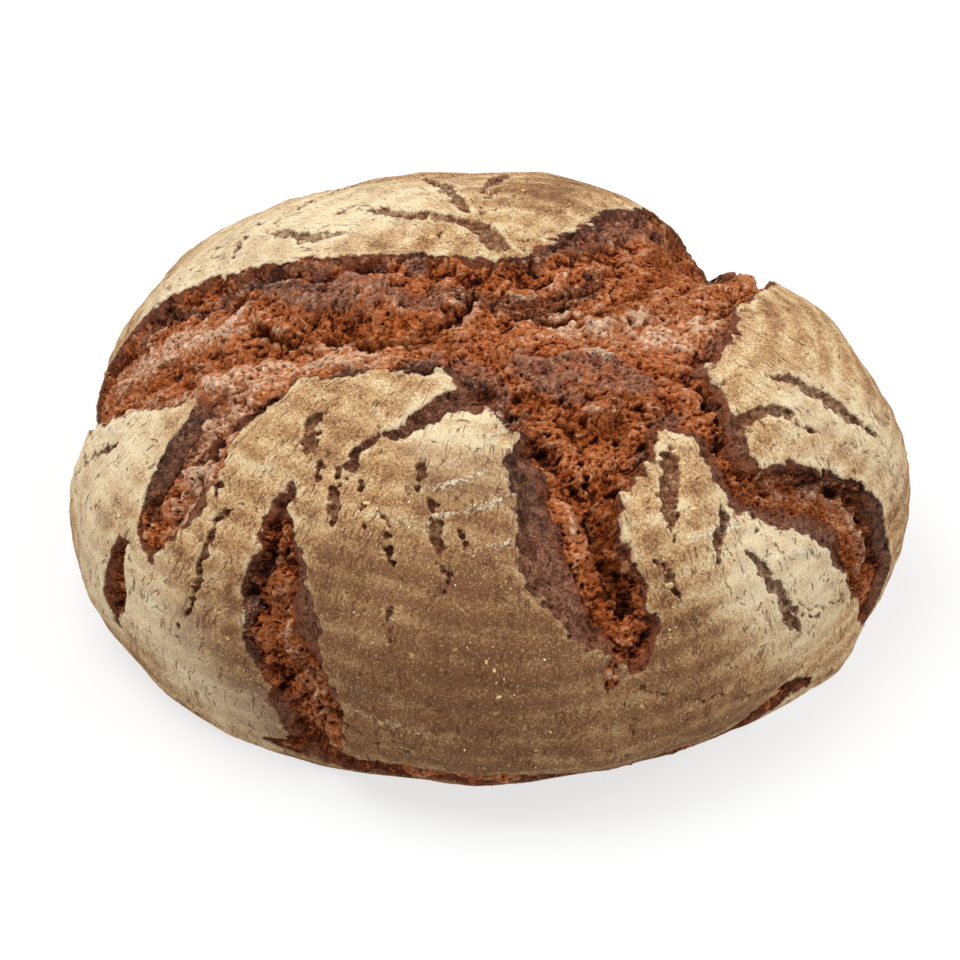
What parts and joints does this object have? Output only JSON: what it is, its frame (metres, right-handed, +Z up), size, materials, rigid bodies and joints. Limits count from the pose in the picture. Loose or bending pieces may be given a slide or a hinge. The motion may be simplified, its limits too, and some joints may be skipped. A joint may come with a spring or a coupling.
{
  "type": "rye bread loaf",
  "caption": "Round rustic rye bread loaf: a floured dome with a flat base, its crust torn open in deep rough-edged cracks over the crown and down the sides.",
  "frame": {"origin": "middle of the loaf's flat base, at the centre of its bounding box seen from above", "axes": "+Z up from the base to the crown, -Y towards the front, where the long fissure runs down, and +X to the right of the front"},
  "size_m": [0.2836, 0.282, 0.1167],
  "materials": {
    "crust": "matt, floured bread crust"
  },
  "bodies": {
    "root": {"loaf": "crust"}
  },
  "joints": []
}
